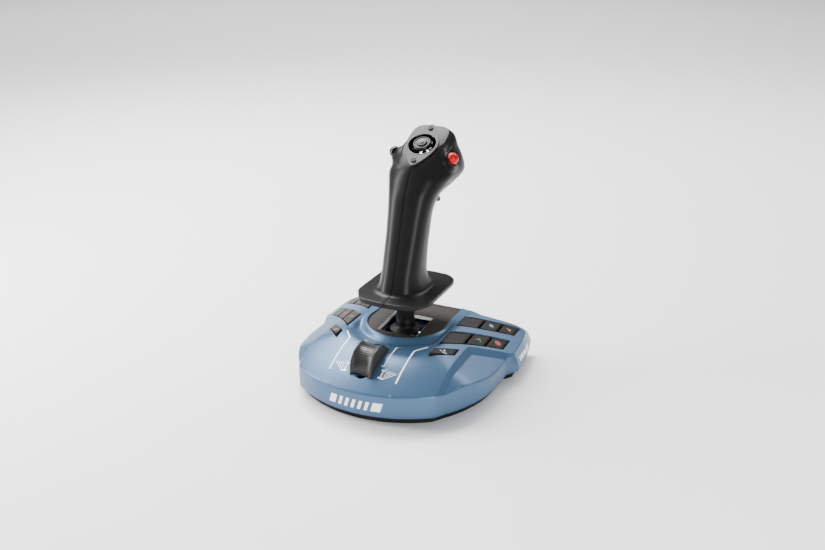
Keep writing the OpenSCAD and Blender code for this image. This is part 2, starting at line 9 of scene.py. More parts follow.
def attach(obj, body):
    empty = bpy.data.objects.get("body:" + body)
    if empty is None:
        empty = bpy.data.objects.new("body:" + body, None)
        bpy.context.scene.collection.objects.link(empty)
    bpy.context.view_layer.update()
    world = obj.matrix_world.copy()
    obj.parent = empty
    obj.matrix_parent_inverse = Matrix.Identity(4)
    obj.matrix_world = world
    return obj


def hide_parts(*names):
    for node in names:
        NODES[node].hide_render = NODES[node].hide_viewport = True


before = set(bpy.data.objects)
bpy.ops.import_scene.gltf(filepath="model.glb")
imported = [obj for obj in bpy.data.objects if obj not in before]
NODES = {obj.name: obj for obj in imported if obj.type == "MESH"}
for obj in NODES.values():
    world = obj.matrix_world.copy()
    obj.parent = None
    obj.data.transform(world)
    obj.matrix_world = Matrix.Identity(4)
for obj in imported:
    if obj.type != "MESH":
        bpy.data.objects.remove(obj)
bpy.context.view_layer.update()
STICK_Y = 11.0  # the stick's axis in the row frame, mm


# ---------- materials ----------
def material(name, color, rough, metallic=0.0, coat=0.0, ior=1.5, grain=(900.0, 0.03), tint=0.06, wear=0.08,
             coat_rough=0.1, sheen=0.0):
    """A principled finish with a fine grain in its colour, roughness and surface, all in object space."""
    mat = bpy.data.materials.new(name)
    mat.use_nodes = True
    tree = mat.node_tree
    bsdf = tree.nodes["Principled BSDF"]
    bsdf.inputs["Metallic"].default_value = metallic
    bsdf.inputs["Coat Weight"].default_value = coat
    bsdf.inputs["Coat Roughness"].default_value = coat_rough
    bsdf.inputs["IOR"].default_value = ior
    bsdf.inputs["Sheen Weight"].default_value = sheen
    coord = tree.nodes.new("ShaderNodeTexCoord")
    fine = tree.nodes.new("ShaderNodeTexNoise")
    fine.inputs["Scale"].default_value = grain[0]
    fine.inputs["Detail"].default_value = 3.0
    broad = tree.nodes.new("ShaderNodeTexNoise")
    broad.inputs["Scale"].default_value = 28.0
    broad.inputs["Detail"].default_value = 4.0
    for n in (fine, broad):
        tree.links.new(coord.outputs["Object"], n.inputs["Vector"])
    ramp = tree.nodes.new("ShaderNodeMixRGB")
    ramp.inputs[1].default_value = (*[c * (1 - tint) for c in color], 1)
    ramp.inputs[2].default_value = (*[min(c * (1 + tint), 1) for c in color], 1)
    tree.links.new(fine.outputs["Fac"], ramp.inputs[0])
    tree.links.new(ramp.outputs[0], bsdf.inputs["Base Color"])
    spread = tree.nodes.new("ShaderNodeMapRange")
    spread.inputs["To Min"].default_value = max(rough - wear / 2, 0.02)
    spread.inputs["To Max"].default_value = rough + wear / 2
    tree.links.new(broad.outputs["Fac"], spread.inputs["Value"])
    tree.links.new(spread.outputs["Result"], bsdf.inputs["Roughness"])
    bump = tree.nodes.new("ShaderNodeBump")
    bump.inputs["Strength"].default_value = grain[1]
    bump.inputs["Distance"].default_value = 0.0002
    tree.links.new(fine.outputs["Fac"], bump.inputs["Height"])
    tree.links.new(bump.outputs["Normal"], bsdf.inputs["Normal"])
    return mat


PAINT = material("blue_paint", (0.054, 0.112, 0.200), 0.34, metallic=0.34, coat=0.0, ior=1.4,
                 grain=(2600.0, 0.04), tint=0.10)
SHADE = material("blue_paint_shaded", (0.018, 0.034, 0.058), 0.45, ior=1.3, grain=(2600.0, 0.04))
GRIP = material("grip_plastic", (0.010, 0.010, 0.0105), 0.33, ior=1.21, grain=(2200.0, 0.10), wear=0.06)
BLACK = material("black_plastic", (0.004, 0.004, 0.0045), 0.5, ior=1.25, grain=(1800.0, 0.12))
GLOSS = material("black_gloss", (0.002, 0.002, 0.0025), 0.09, ior=1.35, grain=(900.0, 0.0), wear=0.03)
UMBER = material("umber_plate", (0.030, 0.025, 0.022), 0.42, ior=1.25, grain=(2400.0, 0.10))
KEY = material("key_plastic", (0.013, 0.0105, 0.009), 0.36, ior=1.22, grain=(2400.0, 0.05))
DRUM = material("throttle_plastic", (0.019, 0.0185, 0.018), 0.34, ior=1.38, grain=(2000.0, 0.05))
KNOB = material("hat_knob_black", (0.004, 0.004, 0.0045), 0.30, ior=1.28, grain=(1800.0, 0.05))
HAT = material("hat_plate_grey", (0.050, 0.050, 0.052), 0.42, ior=1.26, grain=(2400.0, 0.10))
RED = material("red_gloss", (0.42, 0.001, 0.003), 0.30, ior=1.32, grain=(900.0, 0.0), wear=0.02)
WHITE = material("white_print", (0.97, 0.98, 0.99), 0.5, grain=(2000.0, 0.0), tint=0.01)
# light grey on the plate opening's chamfer is a painted highlight: it stands for the bright reflections the
# chamfer catches, not the plate's own colour
CHAMFER_PAINTED_HIGHLIGHT = material("chamfer_painted_highlight", (0.45, 0.47, 0.50), 0.3, grain=(1800.0, 0.02))
RUBBER = material("rubber", (0.02, 0.02, 0.02), 0.8, grain=(1500.0, 0.2))
STEEL = material("steel", (0.56, 0.57, 0.58), 0.28, metallic=1.0, grain=(1500.0, 0.05))
ALLOY = material("alloy", (0.7, 0.71, 0.73), 0.35, metallic=1.0, grain=(1500.0, 0.05))
BOARD = material("circuit_board", (0.02, 0.13, 0.06), 0.45, grain=(600.0, 0.08), tint=0.2)
NYLON = material("grey_nylon", (0.16, 0.18, 0.21), 0.5, grain=(1800.0, 0.1))
PALE = material("pale_plastic", (0.7, 0.7, 0.66), 0.4, grain=(1800.0, 0.05))
GREEN = material("green_mark", (0.05, 0.42, 0.16), 0.5, tint=0.02)
AMBER = material("amber_mark", (0.75, 0.36, 0.14), 0.5, tint=0.02)
CYAN = material("cyan_mark", (0.10, 0.42, 0.62), 0.5, tint=0.02)
ROSE = material("rose_mark", (0.55, 0.06, 0.07), 0.5, tint=0.02)


# ---------- mesh helpers: all shapes are given in mm about the stick's axis ----------
def row(p):
    p = np.asarray(p, float).reshape(-1, 3)
    return (p + np.array([0, STICK_Y, 0])) / 1000


def piece(name, verts, faces, mat, body, replaces=(), sharp=35, weld=0.0, outward=True):
    mesh = bpy.data.meshes.new(name)
    mesh.from_pydata([tuple(v) for v in row(verts)], [], [tuple(int(i) for i in f) for f in faces])
    bm = bmesh.new()
    bm.from_mesh(mesh)
    if weld:
        bmesh.ops.remove_doubles(bm, verts=bm.verts, dist=weld / 1000)
    if outward:
        bmesh.ops.recalc_face_normals(bm, faces=bm.faces)
    bm.to_mesh(mesh)
    bm.free()
    for poly in mesh.polygons:
        poly.use_smooth = True
    mesh.set_sharp_from_angle(angle=math.radians(sharp))
    mesh.materials.append(mat)
    obj = bpy.data.objects.new(name, mesh)
    bpy.context.scene.collection.objects.link(obj)
    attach(obj, body)
    if replaces:
        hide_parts(*replaces)
    return obj


def grid(rows, cols, start=0, closed=False):
    """Faces between neighbouring rows of cols points each."""
    out = []
    for i in range(rows - 1):
        for j in range(cols if closed else cols - 1):
            k = (j + 1) % cols
            a = start + i * cols
            out.append((a + j, a + k, a + cols + k, a + cols + j))
    return out


def lathe(profile, n=96):
    """Points and faces of a profile of (radius, height) turned about Z. A radius of 0 closes the end."""
    pts, faces, rings = [], [], []
    for r, z in profile:
        if r <= 1e-6:
            rings.append([len(pts)])
            pts.append((0, 0, z))
        else:
            rings.append(list(range(len(pts), len(pts) + n)))
            pts += [(r * math.cos(2 * math.pi * k / n), r * math.sin(2 * math.pi * k / n), z)
                    for k in range(n)]
    for a, b in zip(rings, rings[1:]):
        for k in range(n):
            m = (k + 1) % n
            if len(a) == 1 and len(b) == 1:
                continue
            if len(a) == 1:
                faces.append((a[0], b[k], b[m]))
            elif len(b) == 1:
                faces.append((a[k], b[0], a[m]))
            else:
                faces.append((a[k], a[m], b[m], b[k]))
    return np.array(pts, float), faces


def rounded(profile, r=0.4, n=4):
    """The profile with each inner corner turned by a small arc."""
    p = [np.array(q, float) for q in profile]
    out = [p[0]]
    for a, b, c in zip(p, p[1:], p[2:]):
        u, v = a - b, c - b
        lu, lv = np.linalg.norm(u), np.linalg.norm(v)
        d = min(r, lu * 0.45, lv * 0.45)
        s, e = b + u / lu * d, b + v / lv * d
        out += [(1 - t) ** 2 * s + 2 * t * (1 - t) * b + t * t * e for t in np.linspace(0, 1, n)]
    out.append(p[-1])
    return [tuple(q) for q in out]


def turn(axis, degrees):
    return np.array(Matrix.Rotation(math.radians(degrees), 3, axis))


def resample(line, step, closed=False):
    line = [np.array(p, float) for p in line]
    if closed:
        line = line + [line[0]]
    out = []
    for a, b in zip(line, line[1:]):
        n = max(1, int(math.ceil(np.linalg.norm(b - a) / step)))
        out += [a + (b - a) * k / n for k in range(n)]
    if not closed:
        out.append(line[-1])
    return np.array(out)


def outward_normals(loop):
    """Mitred outward normals of a counter-clockwise closed loop."""
    loop = np.asarray(loop, float)
    e = np.roll(loop, -1, 0) - loop
    e /= np.linalg.norm(e, axis=1)[:, None] + 1e-12
    n = np.stack([e[:, 1], -e[:, 0]], 1)
    m = n + np.roll(n, 1, 0)
    m /= np.linalg.norm(m, axis=1)[:, None] + 1e-12
    c = np.clip((m * n).sum(1), 0.4, 1)
    return m / c[:, None]


def inside(points, loop):
    points, loop = np.asarray(points, float), np.asarray(loop, float)
    x, y = points[:, 0], points[:, 1]
    hit = np.zeros(len(points), bool)
    for a, b in zip(loop, np.roll(loop, -1, 0)):
        if a[1] == b[1]:
            continue
        cross = (a[1] > y) != (b[1] > y)
        hit ^= cross & (x < (b[0] - a[0]) * (y - a[1]) / (b[1] - a[1]) + a[0])
    return hit


def area(loop):
    return 0.5 * np.sum(loop[:, 0] * np.roll(loop[:, 1], -1) - np.roll(loop[:, 0], -1) * loop[:, 1])


# ---------- the deck ----------
def smax0(a, k):
    """max(a, 0) with a soft corner of width k."""
    return np.where(a > k, a, np.where(a < -k, 0, (a + k) ** 2 / (4 * k)))


def soft_min(a, b, k):
    h = np.clip(k - np.abs(a - b), 0, None) / k
    return np.minimum(a, b) - h * h * k / 4


def step(t):
    t = np.clip(t, 0, 1)
    return t * t * (3 - 2 * t)


def plate_distance(x, y):
    """How far outside the dark plate's opening a point is."""
    side = np.abs(x) - (37.5 - 1.3 * np.clip((y - 5) / 8, 0, 1))
    return np.where(y < 5, np.hypot(x, y - 5) - 37.5, side)


def bevel_pace(ax):
    """The rear bevel of the sunk panel is broad at its inner corner and narrows along the wing."""
    return 0.56 + 0.24 * np.clip((ax - 66.5) / 34, 0, 1)


def recess_depth(x, y):
    """Distance into the sunk corner panel, from its upper edge."""
    ax = np.abs(x)
    a = ax - 66.2
    b = ((ax - 66.5) * 0.686 - (y + 6.5) * 0.727) * bevel_pace(ax)
    return soft_min(a, b, 1.6)


def deck(x, y):
    x, y = np.asarray(x, float), np.asarray(y, float)
    w = smax0(np.abs(x) - 45, 3.5)
    wing = 50.4 - 0.37 * w - 0.0015 * w * w
    q = smax0(np.hypot(x, y - 8) - 60, 4)
    dome = 50.1 - 0.128 * q - 0.0055 * q * q
    z = soft_min(wing, dome, 3)
    d = plate_distance(x, y)
    fade = (1 - 0.85 * step((y + 22) / 50)) * (1 - step((np.abs(x) - 37) / 8.5) * step((y + 34) / 10))
    z = z - 4.5 * fade * step((d - 1.0) / 6.2) * (1 - step((d - 8.0) / 15))
    t = recess_depth(x, y)
    ramp = np.clip(t / 4.6, 0, 1)
    soft = 0.10
    ramp = smax0(ramp - soft / 2, soft / 2) - smax0(ramp - 1 + soft / 2, soft / 2)
    return z - 4.0 * ramp / (1 - soft)


def arc(c, r, a0, a1, n):
    return [(c[0] + r * math.cos(math.radians(a0 + (a1 - a0) * k / n)),
             c[1] + r * math.sin(math.radians(a0 + (a1 - a0) * k / n))) for k in range(n + 1)]


def half_outline(kind):
    """Right half of the base's outline, from the front centre round to the plate's rear corner.

    The kinds are the deck's edge (0), the widest height (1) and the joint with the lower shell (2)."""
    front = arc((0, 8), 112, -90, -math.degrees(math.acos(66 / 112)), 24)
    r = (117.6, 118.0, 118.0)[kind]
    corner = arc((-22, -2), r, -37.5, -2, 16)
    wing = ([(95.4, 14.2), (99.8, 24.9), (98.4, 52), (94.3, 80), (79, 67), (67.6, 59), (56, 51.8), (42, 50),
             (37.2, 52)],
            [(96.6, 13.6), (104.2, 24.6), (103.2, 53), (97.6, 82.5), (80.5, 69), (68.4, 60.8), (56.2, 53.2),
             (42.5, 51.6), (37.2, 54)],
            [(96.0, 13.8), (102.8, 24.8), (101.6, 54), (96.4, 81.2), (80, 68.2), (68, 60.2), (56, 53),
             (42.5, 51.6), (37.2, 54)])[kind]
    return front + corner + wing


def wall_loops():
    """The three outlines with matching points, from the left rear round the front to the right rear."""
    halves = [half_outline(k) for k in range(3)]
    right = []
    for a in range(len(halves[0]) - 1):
        n = max(1, int(math.ceil(math.dist(halves[0][a], halves[0][a + 1]) / 1.3)))
        for k in range(n):
            right.append([[h[a][i] + (h[a + 1][i] - h[a][i]) * k / n for i in (0, 1)] for h in halves])
    right.append([list(h[-1]) for h in halves])
    right = np.array(right)
    left = right[::-1] * np.array([-1, 1])
    return np.concatenate([left[:-1], right])


ROW_X = (45.5, 62.5, 76.5, 90.0)


def key_plan(kind, i=0):
    if kind == "single":
        return [(45.2, -50.8), (62.5, -32.5), (62.5, -20.5), (45.2, -38.8)]
    near = {"a": lambda x: -29 + 1.26 * (x - 45.5) - 0.0037 * (x - 45.5) ** 2,
            "b": lambda x: 12 + 0.88 * (x - 45.5)}[kind]
    far = {"a": lambda x: -1 + 1.02 * (x - 45.5) - 0.0024 * (x - 45.5) ** 2,
           "b": lambda x: 34.5 + 0.78 * (x - 45.5)}[kind]
    a, b = ROW_X[i], ROW_X[i + 1]
    return [(a, near(a)), (b, near(b)), (b, far(b)), (a, far(a))]


def well_plans():
    out = [key_plan("single")]
    for kind in "ab":
        keys = [key_plan(kind, i) for i in range(3)]
        out.append([keys[0][0], keys[1][0], keys[2][0], keys[2][1],
                    keys[2][2], keys[2][3], keys[1][3], keys[0][3]])
    return out


def edge_rows(loop, fillet, sign, floor):
    """Rows of points that turn a rounded edge down into a wall.

    The edge lies sign * fillet away from the loop."""
    n = outward_normals(loop)
    rows = []
    for k in range(5):
        a = math.pi / 8 * k
        p = loop + n * np.reshape(sign * fillet * (1 - math.sin(a)), (-1, 1))
        rows.append(np.column_stack([p, deck(p[:, 0], p[:, 1]) - fillet * (1 - math.cos(a))]))
    for depth in floor:
        rows.append(np.column_stack([loop, rows[4][:, 2] - depth]))
    return rows


def build_deck():
    walls = wall_loops()
    opening = resample([(36.2, 49.5), (36.2, 14)] + arc((0, 5), 37.5, -2, -178, 90)
                       + [(-36.2, 14), (-36.2, 49.5)], 1.3)
    joined = np.concatenate([walls[:, 0], opening])
    wide = np.concatenate([walls[:, 1], opening])
    foot = np.concatenate([walls[:, 2], opening])
    is_wall = np.arange(len(joined)) < len(walls)
    fillet = np.where(is_wall, 0.9, 0.6)
    rows = edge_rows(joined, fillet, -1, [])
    top = rows[-1]
    for u in np.linspace(0.12, 1, 9):
        ease = 1 - (1 - u) ** 1.25
        p = joined + (wide - joined) * ease
        z = np.where(is_wall, top[:, 2] + (13.0 - top[:, 2]) * u, top[:, 2] - 8 * u)
        rows.append(np.column_stack([p, z]))
    for u in (0.4, 0.8):
        p = wide + (foot - wide) * u * u
        rows.append(np.column_stack([p, np.where(is_wall, 13.0 - 5.0 * u, rows[-1][:, 2])]))
    n = outward_normals(joined)
    for inset, z in ((0.3, 8.25), (1.0, 8.0), (6.5, 8.0)):
        p = foot - n * np.where(is_wall, inset, 0)[:, None]
        rows.append(np.column_stack([p, np.where(is_wall, z, rows[-1][:, 2])]))
    border = rows[0]
    verts, faces = list(np.concatenate(rows)), grid(len(rows), len(joined), closed=True)

    holes = []
    plans = well_plans()
    for plan in plans + [[(-x, y) for x, y in q][::-1] for q in plans]:
        holes.append((resample(plan, 1.3, True), 0.5, [1, 6]))
    slot = arc((0, -51), 5, 0, 180, 16) + arc((0, -87), 5, 180, 360, 16)
    holes.append((resample(slot, 1.3, True), 1.1, [1, 7]))
    rims = []
    for loop, f, depths in holes:
        r = edge_rows(loop, f, 1, depths)
        faces += grid(len(r), len(loop), len(verts), closed=True)
        verts += list(np.concatenate(r))
        rims.append(r[0][:, :2])

    def kept(p, margin=0.0):
        good = inside(p, border[:, :2])
        for r in rims:
            good &= ~inside(p, r)
        return good

    fixed = np.concatenate([border[:, :2]] + rims)
    pts, edges, start = [fixed], [], 0
    for loop in [border] + rims:
        edges += [(start + k, start + (k + 1) % len(loop)) for k in range(len(loop))]
        start += len(loop)
    crease = []
    for o in (0.0, 0.46, 4.14, 4.6):
        far = [(q, -6.5 + ((q - 66.5) * 0.686 - o / bevel_pace(q)) / 0.727)
               for q in np.linspace(66.2 + o, 108, 30)]
        line = resample([(66.2 + o, -100)] + far, 1.1)
        crease += [line, line * np.array([-1, 1])]
    tree = kdtree.KDTree(len(fixed))
    for k, p in enumerate(fixed):
        tree.insert((p[0], p[1], 0), k)
    tree.balance()
    clear = lambda p, gap: np.array([tree.find((q[0], q[1], 0))[2] > gap for q in p])
    for line in crease:
        good = kept(line) & clear(line, 0.45)
        base = start
        chosen = np.flatnonzero(good)
        pts.append(line[chosen])
        edges += [(base + k, base + k + 1) for k in range(len(chosen) - 1) if chosen[k + 1] == chosen[k] + 1]
        start += len(chosen)
    # a row of points just inside each edge keeps the shading even along it
    for loop, away in [(border, -0.8)] + [(r, 0.8) for r in rims]:
        p = loop[:, :2] + outward_normals(loop[:, :2]) * away
        p = p[kept(p) & clear(p, 0.55)]
        pts.append(p)
        start += len(p)
    fixed = np.concatenate(pts)
    tree = kdtree.KDTree(len(fixed))
    for k, p in enumerate(fixed):
        tree.insert((p[0], p[1], 0), k)
    tree.balance()
    for size in (1.0, 2.2):
        gx, gy = np.meshgrid(np.arange(-106, 106.1, size), np.arange(-106, 88, size))
        g = np.column_stack([gx.ravel(), gy.ravel()])
        g = g[kept(g)]
        near_recess = np.abs(recess_depth(g[:, 0], g[:, 1]) - 2.2) < 3.6
        detail = (plate_distance(g[:, 0], g[:, 1]) < 14) | near_recess
        g = g[detail if size == 1.0 else ~detail]
        g = g[clear(g, 0.45 * size)]
        pts.append(g)
    flat = np.concatenate(pts)
    out = delaunay_2d_cdt([Vector((float(p[0]), float(p[1]))) for p in flat], edges, [], 0, 1e-5)
    v2 = np.array([(v.x, v.y) for v in out[0]])
    tri = np.array([f for f in out[2] if len(f) == 3])
    mid = v2[tri].mean(1)
    tri = tri[kept(mid)]
    base = len(verts)
    z = deck(v2[:, 0], v2[:, 1])
    verts += list(np.column_stack([v2, z]))
    faces += [tuple(t + base) for t in tri]
    return verts, faces


deck_verts, deck_faces = build_deck()
piece("base_shell_painted", deck_verts, deck_faces, PAINT, "base", ["base_top_shell"],
      sharp=32, weld=0.02)


# the funnel below the opening is the same moulding, deep in the shade
funnel_pts, funnel_faces = lathe([(37.4, 44.0), (35.4, 43.4), (22.0, 36.7), (21.8, 36.2), (23.8, 36.1)], 96)
piece("base_shell_funnel", funnel_pts, funnel_faces, SHADE, "base")


# ---------- the dark plate round the stick ----------
def plate_z(y):
    return 45.6 + 4.0 * (np.asarray(y, float) + 45) / 89


def build_plate():
    half, cham, wide = 18.5, 1.2, 35.7
    out = resample([(wide, 44), (wide, 14)] + arc((0, 5), 37.1, -3, -177, 80)
                   + [(-wide, 14), (-wide, 44)], 1.4)
    back = np.column_stack([np.linspace(-wide, wide, 52)[1:-1], np.full(50, 44.0)])
    loop = np.concatenate([out, back])
    if area(loop) < 0:
        loop = loop[::-1]
    edge = half + cham
    square = resample([(-edge, -edge), (edge, -edge), (edge, edge), (-edge, edge)], 2.0, True)
    edges = [(k, (k + 1) % len(loop)) for k in range(len(loop))]
    edges += [(len(loop) + k, len(loop) + (k + 1) % len(square)) for k in range(len(square))]
    gx, gy = np.meshgrid(np.arange(-36, 37, 3.0), np.arange(-32, 44, 3.0))
    g = np.column_stack([gx.ravel(), gy.ravel()])
    g = g[inside(g, loop * 0.985) & ~inside(g, square * 1.05)]
    flat = np.concatenate([loop, square, g])
    res = delaunay_2d_cdt([Vector((float(p[0]), float(p[1]))) for p in flat], edges, [], 0, 1e-5)
    v2 = np.array([(v.x, v.y) for v in res[0]])
    tri = np.array([f for f in res[2] if len(f) == 3])
    mid = v2[tri].mean(1)
    tri = tri[inside(mid, loop) & ~inside(mid, square)]
    verts = list(np.column_stack([v2, plate_z(v2[:, 1])]))
    faces = [tuple(t) for t in tri]
    # outer edge
    n = outward_normals(loop)
    rows = [np.column_stack([loop + n * o, plate_z(loop[:, 1]) - d])
            for o, d in ((0, 0), (0.3, 0.1), (0.4, 0.5), (0.4, 3))]
    faces += grid(4, len(loop), len(verts), closed=True)
    verts += list(np.concatenate(rows))
    # tongue that curves down behind
    profile = [(44, 49.6), (47.5, 49.55), (50.5, 48.9), (53.4, 47.3), (56.2, 44.8), (58.6, 41.2),
               (60.4, 36.8), (61.6, 31), (62.2, 24), (62.5, 16), (62.5, 9)]
    xs = np.linspace(-wide, wide, 40)
    rows = [np.column_stack([xs, np.full(40, y), np.full(40, z)]) for y, z in profile]
    faces += grid(len(rows), 40, len(verts))
    verts += list(np.concatenate(rows))
    for s in (-1, 1):
        side = [[(s * wide, y, z), (s * 36.05, y, z - 0.5), (s * 36.05, y - 2, z - 3)] for y, z in profile]
        faces += grid(len(side), 3, len(verts))
        verts += [p for r in side for p in r]
    return verts, faces


plate_verts, plate_faces = build_plate()
piece("stick_plate", plate_verts, plate_faces, UMBER, "base", ["gimbal_cover_plate"],
      weld=0.02)
# the chamfer round the plate's square opening, coloured light grey as a painted highlight
rim_rows = []
for h, d in ((19.7, 0), (19.2, 0.35), (18.5, 1.4), (18.5, 2.6), (19.5, 2.6)):
    sq = resample([(-h, -h), (h, -h), (h, h), (-h, h)], h / 8, True)[:64]
    rim_rows.append(np.column_stack([sq, plate_z(sq[:, 1]) - d + 0.01]))
piece("plate_opening_rim", np.concatenate(rim_rows), grid(5, 64, closed=True), CHAMFER_PAINTED_HIGHLIGHT, "base")


# ---------- white print ----------
def ribbon(line, width, lift=0.07):
    """A flat band of print that follows the deck."""
    line = resample(line, 1.0)
    t = np.gradient(line, axis=0)
    t /= np.linalg.norm(t, axis=1)[:, None]
    n = np.stack([-t[:, 1], t[:, 0]], 1) * width / 2
    rows = [np.column_stack([line + n * k, deck(*(line + n * k).T) + lift]) for k in (-1, 0, 1)]
    return np.concatenate(rows), grid(3, len(line))


def gather(parts):
    verts, faces = [], []
    for v, f in parts:
        faces += [tuple(int(i) + len(verts) for i in q) for q in f]
        verts += list(v)
    return verts, faces


marks = []
for s in (-1, 1):
    def m(*pts):
        return [(s * x, y) for x, y in pts]
    marks.append(ribbon(m((32, -87.6), (32, -49.3)), 1.35))
    marks.append(ribbon(m((32, -49.6), (40.5, -38.6)), 1.2))
    marks.append(ribbon(m((15.6, -76.5), (15.6, -46.5)), 0.95))
    marks.append(ribbon(m((15.6, -46.6), (18.6, -46.6)), 0.9))
    marks.append(ribbon(m((15.6, -76.4), (13.4, -76.4)), 0.9))
    marks.append(ribbon(m((17.2, -80.4), (17.2, -87.6)), 1.0))
    marks.append(ribbon(m((15.4, -80.4), (19.0, -80.4)), 1.2))
    marks.append(ribbon(m((15.0, -87.6), (19.6, -87.6)), 1.4))
    for k in range(6):
        y = -88.4 + 2.1 * k
        x1, x0 = 29.4, 19.6
        top, low = min(y + 8.6, -79.2), max(y, -89.6)
        xa, xb = x0 + (low - y) * 1.14, x0 + (top - y) * 1.14
        marks.append(ribbon(m((xa, low), (min(xb, x1), low + (min(xb, x1) - xa) / 1.14)), 0.45))
verts, faces = gather(marks)
piece("panel_marks", verts, faces, WHITE, "base", outward=False)
verts, faces = gather([ribbon([(0, -32.9), (0, -47.5)], 0.35, 0.05)])
piece("panel_seam", verts, faces, NYLON, "base", outward=False)


def on_front(u, z):
    """A point on the front wall, u mm round from the centre."""
    a = u / 112.0
    return 112.12 * math.sin(a), 8 - 112.12 * math.cos(a), z


def front_patch(poly_rows):
    verts = [on_front(u, z) for r in poly_rows for u, z in r]
    return verts, grid(len(poly_rows), len(poly_rows[0]))


badge = []
for u, w in ((-25, 6.2), (-15.6, 3.0), (-9.4, 3.0), (-3.2, 3.0), (3.0, 3.0), (9.2, 3.0), (15.4, 8.6)):
    lean = 2.6
    badge.append(front_patch([[(u + lean * t + w * k / 4, 13.6 + 8.2 * t) for k in range(5)]
                              for t in (0, 0.5, 1)]))
verts, faces = gather(badge)
piece("front_motif", verts, faces, WHITE, "base", outward=False)


def on_side(y, z):
    """A point on the right wing's outer wall."""
    xj = np.interp(y, (24.9, 52, 80), (99.8, 98.4, 94.3))
    xw = np.interp(y, (24.6, 53, 82.5), (104.2, 103.2, 97.6))
    top = float(deck(xj, y)) - 0.9
    u = min(max((top - z) / (top - 13), 0), 1)
    return xj + (xw - xj) * (1 - (1 - u) ** 1.25) + 0.14, y, z


bars = []
for y0, y1 in ((32, 35.5), (37, 43), (44.5, 50.5), (52, 58), (59.5, 63)):
    bars.append(([on_side(y, z) for y in np.linspace(y0, y1, 4) for z in (15.6, 17.6, 19.6)], grid(4, 3)))
verts, faces = gather(bars)
piece("side_motif", verts, faces, WHITE, "base", outward=False)


# ---------- keys ----------
def key_frame(plan, side):
    cx, cy = np.mean([p[0] for p in plan]), np.mean([p[1] for p in plan])
    w = max(cx - 45, 0)
    slope = math.atan(0.37 + 0.003 * (cx - 45))
    c, s = math.cos(slope), math.sin(slope)
    origin = np.array([cx, cy, 50.4 - 0.37 * w - 0.0015 * w * w])

    def place(u, v, h=0.0):
        p = origin + np.array([u * c + h * s, v, -u * s + h * c])
        return (side * p[0], p[1], p[2])
    return place, (cx, cy), c


def key_cap(name, plan, side):
    """A flat key with a rounded upper edge and sides that run straight down."""
    place, (cx, cy), c = key_frame(plan, side)
    g = 0.9
    local = [((x - cx) / c, y - cy) for x, y in plan]
    local = resample(local, 1.6, True)
    n = outward_normals(local)
    rows = []
    for inset, h in ((g, -0.35), (g, -0.35), (g + 0.1, -0.15), (g + 0.35, -0.05)):
        p = local - n * inset
        p[:, 0] = np.clip(p[:, 0], local[:, 0].min() + inset, local[:, 0].max() - inset)
        rows.append(np.array([place(u, v, h) for u, v in p]))
    rows[0][:, 2] -= 1.8  # the sides run straight down
    verts = list(np.concatenate(rows))
    faces = grid(4, len(local), closed=True)
    base = 3 * len(local)
    inner = [place(u * k, v * k, -0.05 - 0.10 * (1 - k))
             for k in (0.66, 0.33) for u, v in (local - n * (g + 0.35))]
    faces += [tuple(i + base for i in f) for f in grid(3, len(local), closed=True)]
    verts += inner
    verts.append(place(0, 0, -0.15))
    last = base + 2 * len(local)
    faces += [(last + k, last + (k + 1) % len(local), len(verts) - 1) for k in range(len(local))]
    return piece(name + "_cap", verts, faces, KEY, name, [name], sharp=40)


def stroke(place, line, width):
    line = resample(line, 0.5)
    t = np.gradient(line, axis=0)
    t /= np.linalg.norm(t, axis=1)[:, None] + 1e-9
    n = np.stack([-t[:, 1], t[:, 0]], 1) * width / 2
    rows = [[place(u, v, 0.03) for u, v in line + n * k] for k in (-1, 1)]
    return np.array(rows).reshape(-1, 3), grid(2, len(line))


def disc(place, r, n=28, hole=0.0):
    a = np.linspace(0, 2 * math.pi, n, endpoint=False)
    rows = [[place(q * math.cos(t), q * math.sin(t), 0.03) for t in a] for q in (max(hole, 0.01), r)]
    return np.array(rows).reshape(-1, 3), grid(2, n, closed=True)


SYMBOLS = {
    "key_right_single": (WHITE, lambda p: [stroke(p, [(0, -0.2), (0, 2.4)], 0.6),
                                           stroke(p, [(-1.2, 1.4), (0, 2.6), (1.2, 1.4)], 0.6),
                                           stroke(p, [(-3.0, -0.6), (-3.0, -1.8), (3.0, -1.8), (3.0, -0.6)],
                                                  0.6)]),
    "key_left_single": (AMBER, lambda p: [stroke(p, [(-1.8, -1.6), (0, 1.9), (1.8, -1.6), (-1.8, -1.6)],
                                                 0.6)]),
    "key_right_a2": (GREEN, lambda p: [stroke(p, [(-2.4, -1.6), (0, 1.6), (2.4, -1.6)], 0.8)]),
    "key_right_a3": (ROSE, lambda p: [disc(p, 3.0, hole=2.0), disc(p, 1.2)]),
    "key_right_b2": (CYAN, lambda p: [disc(p, 1.9, hole=0.9), stroke(p, [(-2.9, 0), (2.9, 0)], 0.5)]),
    "key_right_b3": (AMBER, lambda p: [stroke(p, [(-2.2, 0), (1.8, 0)], 0.6),
                                       stroke(p, [(0.4, 1.5), (2.0, 0), (0.4, -1.5)], 0.6)]),
    "key_left_a2": (ROSE, lambda p: [disc(p, 2.2, hole=1.3)]),
    "key_left_a1": (AMBER, lambda p: [stroke(p, [(-2.6, 1.6), (2.6, 1.6)], 0.5),
                                      stroke(p, [(-2.6, 0), (2.6, 0)], 0.5)]),
    "key_left_b2": (GREEN, lambda p: [disc(p, 1.8, hole=1.0)]),
}
for side, word in ((1, "right"), (-1, "left")):
    banks = [(k + str(i + 1), key_plan(k, i)) for k in "ab" for i in range(3)]
    for label, plan in [("single", key_plan("single"))] + banks:
        name = f"key_{word}_{label}"
        key_cap(name, plan, side)
        if name in SYMBOLS:
            place, _, _ = key_frame(plan, side)
            verts, faces = gather(SYMBOLS[name][1](place))
            piece(name + "_symbol", verts, faces, SYMBOLS[name][0], name, outward=False)


